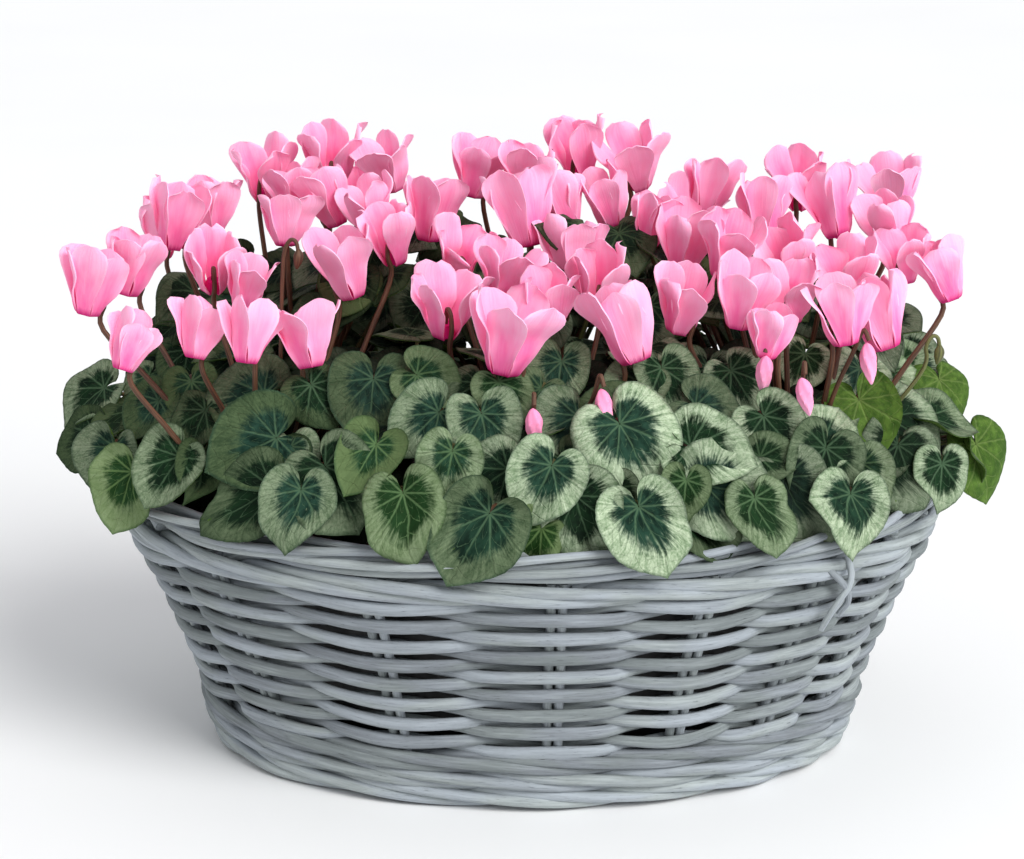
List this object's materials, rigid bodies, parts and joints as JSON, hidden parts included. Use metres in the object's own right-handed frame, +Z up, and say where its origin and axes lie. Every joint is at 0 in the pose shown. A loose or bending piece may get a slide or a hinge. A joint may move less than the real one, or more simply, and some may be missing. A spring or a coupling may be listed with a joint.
{
  "type": "potted cyclamen",
  "caption": "Oval grey willow basket planted with miniature pink cyclamen: heart-shaped silver-marbled leaves round the rim and upswept blooms on slim stalks above them",
  "frame": {"origin": "middle of the flat underside of the basket's base", "axes": "+X is the long way of the oval basket, +Z is up, the pictured side faces -Y"},
  "size_m": [0.4227, 0.2462, 0.2727],
  "materials": {
    "willow": "grey-washed split willow, matt",
    "liner_film": "black planting film",
    "compost": "dark peat compost",
    "petal": "soft pink petals, paler at the edge, magenta at the nose",
    "foliage": "dark green leaves with silver margins, red-brown stalks"
  },
  "bodies": {
    "root": {"basket_base": "willow", "basket_side": "willow", "basket_border": "willow", "liner": "liner_film", "compost": "compost", "bloom_1": "petal", "bloom_2": "petal", "bloom_3": "petal", "bloom_4": "petal", "bloom_5": "petal", "bloom_6": "petal", "bloom_7": "petal", "bloom_8": "petal", "bloom_9": "petal", "bloom_10": "petal", "bloom_11": "petal", "bloom_12": "petal", "bloom_13": "petal", "bloom_14": "petal", "bloom_15": "petal", "bloom_16": "petal", "bloom_17": "petal", "bloom_18": "petal", "bloom_19": "petal", "bloom_20": "petal", "bloom_21": "petal", "bloom_22": "petal", "bloom_23": "petal", "bloom_24": "petal", "bloom_25": "petal", "bloom_26": "petal", "bloom_27": "petal", "bloom_28": "petal", "bloom_29": "petal", "bloom_30": "petal", "bloom_31": "petal", "bloom_32": "petal", "bloom_33": "petal", "bloom_34": "petal", "bloom_35": "petal", "bloom_36": "petal", "bloom_37": "petal", "bloom_38": "petal", "bloom_39": "petal", "bloom_40": "petal", "bloom_41": "petal", "bud_42": "petal", "bud_43": "petal", "bloom_44": "petal", "bud_45": "petal", "bud_46": "petal", "plant_1": "foliage", "plant_2": "foliage", "plant_3": "foliage", "plant_4": "foliage", "plant_5": "foliage", "plant_6": "foliage"}
  },
  "joints": []
}
